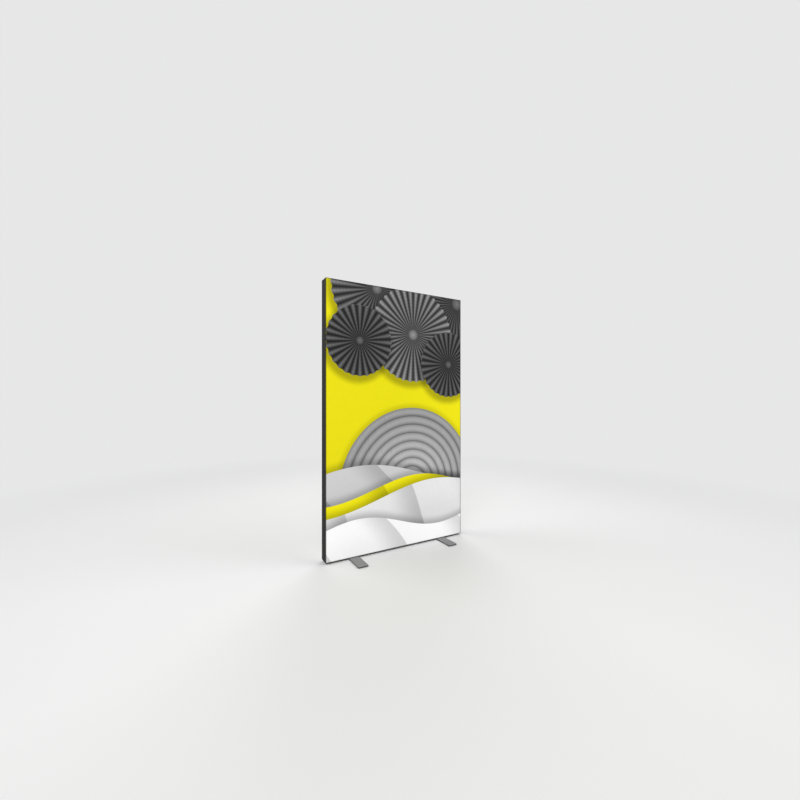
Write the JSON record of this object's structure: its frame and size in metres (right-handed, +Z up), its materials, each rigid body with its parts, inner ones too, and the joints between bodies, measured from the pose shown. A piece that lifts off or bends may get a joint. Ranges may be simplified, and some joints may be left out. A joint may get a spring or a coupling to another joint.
{
  "type": "lightbox display wall",
  "caption": "Free-standing double-sided fabric lightbox wall: slotted aluminium frame, stretched prints, edge lights, side mains inlet and swivelling flat feet.",
  "frame": {"origin": "on the floor, under the middle of the wall", "axes": "+X across the wall towards the side with the mains inlet, +Y through the wall from the front print to the back print, +Z up"},
  "size_m": [1.2, 0.425, 2.0119],
  "materials": {
    "frame_profile": "dark grey anodised, satin",
    "die_cast": "die-cast zinc, as cast",
    "knob_plastic": "fine spark texture",
    "plain_aluminium": "mill finish",
    "lens_board": "white board with clear lenses",
    "supply_case": "dark anodised",
    "printed_fabric": "dye-printed stretch backlight fabric",
    "silicone": "flat silicone strip",
    "inlet_plastic": "black moulding",
    "plated_metal": "zinc plated",
    "fuse_glass": "clear",
    "lead_jacket": "black sheath",
    "foot_steel": "grey powder coat on steel plate",
    "pad_rubber": "black rubber"
  },
  "bodies": {
    "wall": {"top_rail": "frame_profile", "bottom_rail": "frame_profile", "left_upright_lower": "frame_profile", "left_upright_upper": "frame_profile", "right_upright_lower": "frame_profile", "right_upright_upper": "frame_profile", "corner_bracket_bottom_left": "die_cast", "corner_bracket_bottom_right": "die_cast", "corner_bracket_top_left": "die_cast", "corner_bracket_top_right": "die_cast", "splice_bar_left": "die_cast", "splice_bar_right": "die_cast", "cross_bar": "plain_aluminium", "cross_bar_bracket_left": "die_cast", "cross_bar_bracket_right": "die_cast", "light_rail_left_lower": "plain_aluminium", "light_rail_left_upper": "plain_aluminium", "light_rail_right_lower": "plain_aluminium", "light_rail_right_upper": "plain_aluminium", "lens_board_left_lower": "lens_board", "lens_board_left_upper": "lens_board", "lens_board_right_lower": "lens_board", "lens_board_right_upper": "lens_board", "power_supply": "supply_case", "power_supply_tray": "plain_aluminium", "front_graphic": "printed_fabric", "back_graphic": "printed_fabric", "front_edge_strip": "silicone", "back_edge_strip": "silicone", "inlet_housing": "inlet_plastic", "inlet_contacts": "plated_metal", "inlet_screw_upper": "plated_metal", "inlet_screw_lower": "plated_metal", "mains_lead": "lead_jacket", "light_lead": "lead_jacket", "light_link_left": "lead_jacket", "light_link_right": "lead_jacket", "light_link_top": "lead_jacket", "foot_bolt_left": "plated_metal", "foot_bolt_right": "plated_metal", "foot_washer_left": "plated_metal", "foot_washer_right": "plated_metal", "foot_clamp_block_left": "plated_metal", "foot_clamp_block_right": "plated_metal"},
    "foot_left": {"foot_plate_left": "foot_steel", "foot_pad_left_front": "pad_rubber", "foot_pad_left_back": "pad_rubber"},
    "foot_right": {"foot_plate_right": "foot_steel", "foot_pad_right_front": "pad_rubber", "foot_pad_right_back": "pad_rubber"},
    "knob_bottom_left": {"lock_knob_bottom_left": "knob_plastic"},
    "knob_bottom_right": {"lock_knob_bottom_right": "knob_plastic"},
    "knob_top_left": {"lock_knob_top_left": "knob_plastic"},
    "knob_top_right": {"lock_knob_top_right": "knob_plastic"},
    "knob_splice_left": {"lock_knob_splice_left": "knob_plastic"},
    "knob_splice_right": {"lock_knob_splice_right": "knob_plastic"},
    "rocker": {"rocker_switch": "inlet_plastic"},
    "drawer": {"fuse_drawer": "inlet_plastic", "fuse": "fuse_glass"}
  },
  "joints": [
    {"name": "foot_left_swivel", "type": "hinge", "parent": "wall", "child": "foot_left", "pos_m": [-0.3865, 0, 0.0063], "axis": [0, 0, 1], "range_deg": [0, 90]},
    {"name": "foot_right_swivel", "type": "hinge", "parent": "wall", "child": "foot_right", "pos_m": [0.3865, 0, 0.0063], "axis": [0, 0, -1], "range_deg": [0, 90]},
    {"name": "knob_bottom_left_turn", "type": "hinge", "parent": "wall", "child": "knob_bottom_left", "pos_m": [-0.58, 0, 0.0719], "axis": [1, 0, 0], "range_deg": [0, 90]},
    {"name": "knob_bottom_right_turn", "type": "hinge", "parent": "wall", "child": "knob_bottom_right", "pos_m": [0.58, 0, 0.0719], "axis": [-1, 0, 0], "range_deg": [0, 90]},
    {"name": "knob_top_left_turn", "type": "hinge", "parent": "wall", "child": "knob_top_left", "pos_m": [-0.58, 0, 1.9519], "axis": [1, 0, 0], "range_deg": [0, 90]},
    {"name": "knob_top_right_turn", "type": "hinge", "parent": "wall", "child": "knob_top_right", "pos_m": [0.58, 0, 1.9519], "axis": [-1, 0, 0], "range_deg": [0, 90]},
    {"name": "knob_splice_left_turn", "type": "hinge", "parent": "wall", "child": "knob_splice_left", "pos_m": [-0.58, 0, 1.0639], "axis": [1, 0, 0], "range_deg": [0, 90]},
    {"name": "knob_splice_right_turn", "type": "hinge", "parent": "wall", "child": "knob_splice_right", "pos_m": [0.58, 0, 1.0639], "axis": [-1, 0, 0], "range_deg": [0, 90]},
    {"name": "rocker_tilt", "type": "hinge", "parent": "wall", "child": "rocker", "pos_m": [0.5957, 0, 0.1799], "axis": [0, 0, 1], "range_deg": [0, 10]},
    {"name": "fuse_drawer_slide", "type": "slide", "parent": "wall", "child": "drawer", "axis": [1, 0, 0], "range_m": [0, 0.014]}
  ]
}
